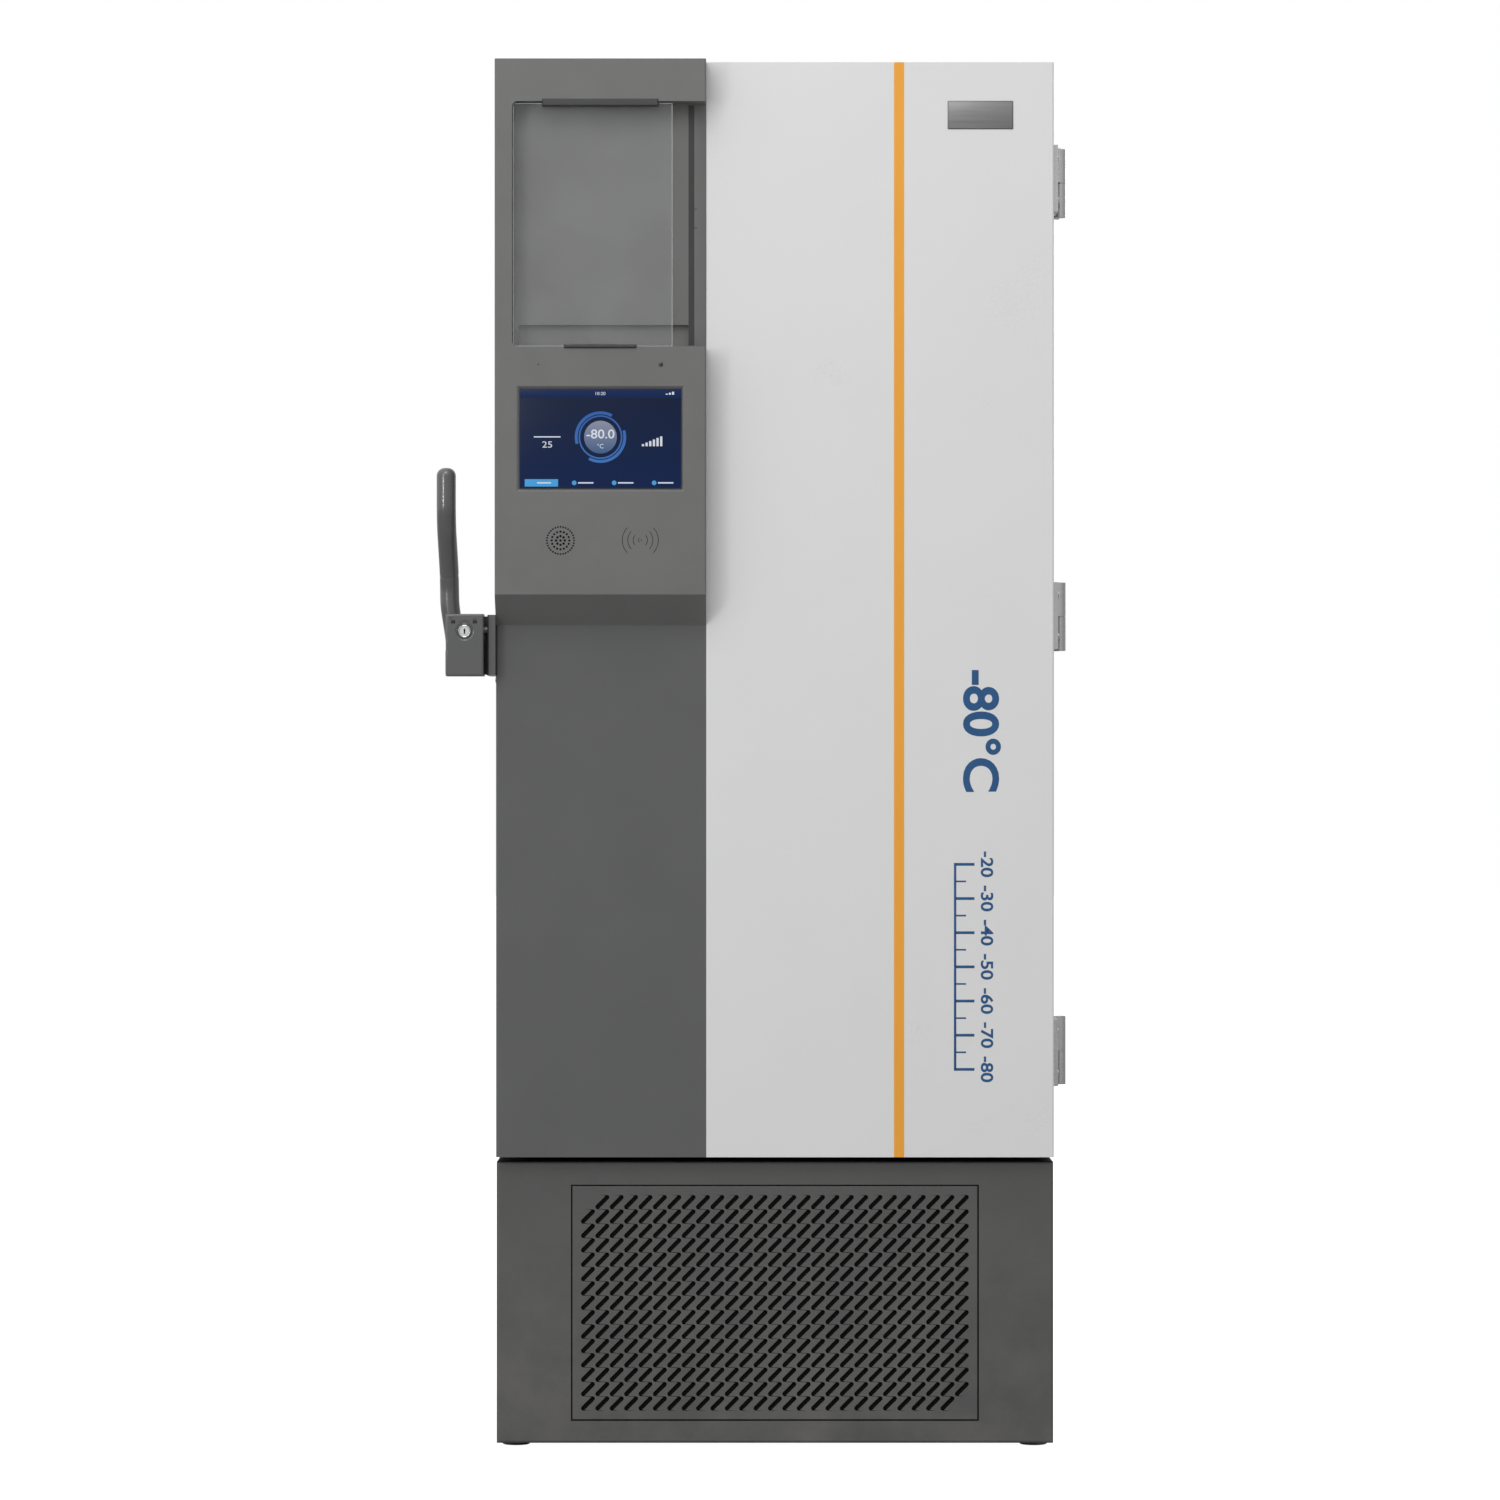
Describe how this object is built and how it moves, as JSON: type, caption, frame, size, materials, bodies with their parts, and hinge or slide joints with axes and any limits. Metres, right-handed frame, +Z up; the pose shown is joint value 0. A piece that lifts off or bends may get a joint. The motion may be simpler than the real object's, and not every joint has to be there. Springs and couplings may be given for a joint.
{
  "type": "ultra low temperature freezer",
  "caption": "Upright ultra low temperature freezer: insulated cabinet with shelves and inner doors, hinged outer door with touch-screen module, lever latch handle and a slotted base grille.",
  "frame": {"origin": "on the floor, under the middle of the cabinet's width and depth", "axes": "+Z up, -Y towards the user who faces the door, +X to the user's right"},
  "size_m": [0.9058, 0.929, 1.99],
  "materials": {
    "cabinet_paint": "satin",
    "white_panel": "satin",
    "dark_panel": "satin",
    "base_plastic": "matte",
    "module_plastic": "satin",
    "stripe_orange": "satin",
    "badge_metal": "satin",
    "screen_glass": "gloss",
    "clear_cover": "gloss",
    "lens": "gloss",
    "speaker_black": "matte",
    "handle_metal": "gloss",
    "chrome": "polished",
    "hinge_steel": "satin",
    "liner_steel": "satin",
    "door_plastic": "satin",
    "breaker_plastic": "matte",
    "foam": "matte",
    "gasket_rubber": "matte",
    "filter_black": "matte",
    "galvanised": "matte",
    "compressor_black": "gloss",
    "copper": "satin",
    "fin_aluminium": "satin",
    "box_grey": "satin",
    "black_plastic": "matte",
    "wheel_grey": "matte"
  },
  "bodies": {
    "cabinet": {"base_pan": "galvanised", "machine_housing": "cabinet_paint", "base_front_panel": "base_plastic", "grille_panel": "base_plastic", "air_filter": "filter_black", "outer_cabinet": "cabinet_paint", "breaker_frame": "breaker_plastic", "inner_liner": "liner_steel", "evaporator_coil": "copper", "cabinet_insulation": "foam", "access_port": "black_plastic", "shelf_standards": "liner_steel", "shelf_lower": "liner_steel", "shelf_middle": "liner_steel", "shelf_upper": "liner_steel", "inner_hinge_brackets": "hinge_steel", "cabinet_hinge_leaves": "hinge_steel", "latch_keeper": "chrome", "condenser_coil": "fin_aluminium", "fan_shroud": "galvanised", "fan_motor": "black_plastic", "high_stage_compressor": "compressor_black", "low_stage_compressor": "compressor_black", "heat_exchanger": "box_grey", "refrigerant_pipes": "copper", "control_box": "box_grey", "power_inlet": "black_plastic", "rear_spacers": "black_plastic", "levelling_feet": "wheel_grey"},
    "door": {"door_shell": "cabinet_paint", "door_insulation": "foam", "door_liner": "door_plastic", "door_gasket": "gasket_rubber", "front_panel_white": "white_panel", "front_panel_dark": "dark_panel", "accent_stripe": "stripe_orange", "badge_plate": "badge_metal", "control_housing": "module_plastic", "touch_screen": "screen_glass", "speaker": "speaker_black", "camera_lens": "lens", "document_cover": "clear_cover", "cover_clips": "module_plastic", "door_hinge_leaves": "hinge_steel", "handle_mount": "handle_metal"},
    "handle": {"handle_block": "handle_metal", "handle_grip": "handle_metal"},
    "lock": {"lock_cylinder": "chrome"},
    "inner_door_top": {"inner_door_upper": "door_plastic"},
    "inner_door_bottom": {"inner_door_lower": "door_plastic"},
    "fan": {"fan_blades": "black_plastic"},
    "castor_front_left": {"castor_fork_front_left": "galvanised"},
    "wheel_front_left": {"castor_wheel_front_left": "wheel_grey"},
    "castor_front_right": {"castor_fork_front_right": "galvanised"},
    "wheel_front_right": {"castor_wheel_front_right": "wheel_grey"},
    "castor_rear_left": {"castor_fork_rear_left": "galvanised"},
    "wheel_rear_left": {"castor_wheel_rear_left": "wheel_grey"},
    "castor_rear_right": {"castor_fork_rear_right": "galvanised"},
    "wheel_rear_right": {"castor_wheel_rear_right": "wheel_grey"}
  },
  "joints": [
    {"name": "door_hinge", "type": "hinge", "parent": "cabinet", "child": "door", "pos_m": [0.4137, -0.346, 1.197], "axis": [0, 0, 1], "range_deg": [0, 115]},
    {"name": "handle_pivot", "type": "hinge", "parent": "door", "child": "handle", "pos_m": [-0.42, -0.44, 1.1757], "axis": [1, 0, 0], "range_deg": [0, 80]},
    {"name": "lock_turn", "type": "hinge", "parent": "handle", "child": "lock", "pos_m": [-0.4434, -0.46, 1.1734], "axis": [0, -1, 0], "range_deg": [0, 90]},
    {"name": "inner_door_top_hinge", "type": "hinge", "parent": "cabinet", "child": "inner_door_top", "pos_m": [0.268, -0.27, 1.5325], "axis": [0, 0, 1], "range_deg": [0, 92]},
    {"name": "inner_door_bottom_hinge", "type": "hinge", "parent": "cabinet", "child": "inner_door_bottom", "pos_m": [0.268, -0.27, 0.8595], "axis": [0, 0, 1], "range_deg": [0, 92]},
    {"name": "fan_spin", "type": "hinge", "parent": "cabinet", "child": "fan", "pos_m": [0, -0.3143, 0.216], "axis": [0, 1, 0], "continuous": true},
    {"name": "swivel_front_left", "type": "hinge", "parent": "cabinet", "child": "castor_front_left", "pos_m": [-0.3, -0.335, 0.06], "axis": [0, 0, 1], "continuous": true},
    {"name": "roll_front_left", "type": "hinge", "parent": "castor_front_left", "child": "wheel_front_left", "pos_m": [-0.3, -0.317, 0.025], "axis": [1, 0, 0], "continuous": true},
    {"name": "swivel_front_right", "type": "hinge", "parent": "cabinet", "child": "castor_front_right", "pos_m": [0.3, -0.335, 0.06], "axis": [0, 0, 1], "continuous": true},
    {"name": "roll_front_right", "type": "hinge", "parent": "castor_front_right", "child": "wheel_front_right", "pos_m": [0.3, -0.317, 0.025], "axis": [1, 0, 0], "continuous": true},
    {"name": "swivel_rear_left", "type": "hinge", "parent": "cabinet", "child": "castor_rear_left", "pos_m": [-0.3, 0.335, 0.06], "axis": [0, 0, 1], "continuous": true},
    {"name": "roll_rear_left", "type": "hinge", "parent": "castor_rear_left", "child": "wheel_rear_left", "pos_m": [-0.3, 0.353, 0.025], "axis": [1, 0, 0], "continuous": true},
    {"name": "swivel_rear_right", "type": "hinge", "parent": "cabinet", "child": "castor_rear_right", "pos_m": [0.3, 0.335, 0.06], "axis": [0, 0, 1], "continuous": true},
    {"name": "roll_rear_right", "type": "hinge", "parent": "castor_rear_right", "child": "wheel_rear_right", "pos_m": [0.3, 0.353, 0.025], "axis": [1, 0, 0], "continuous": true}
  ],
  "couplings": [
    {"joint": "inner_door_top_hinge", "follows": "door_hinge", "ratio": 0.8},
    {"joint": "inner_door_bottom_hinge", "follows": "door_hinge", "ratio": 0.8}
  ]
}
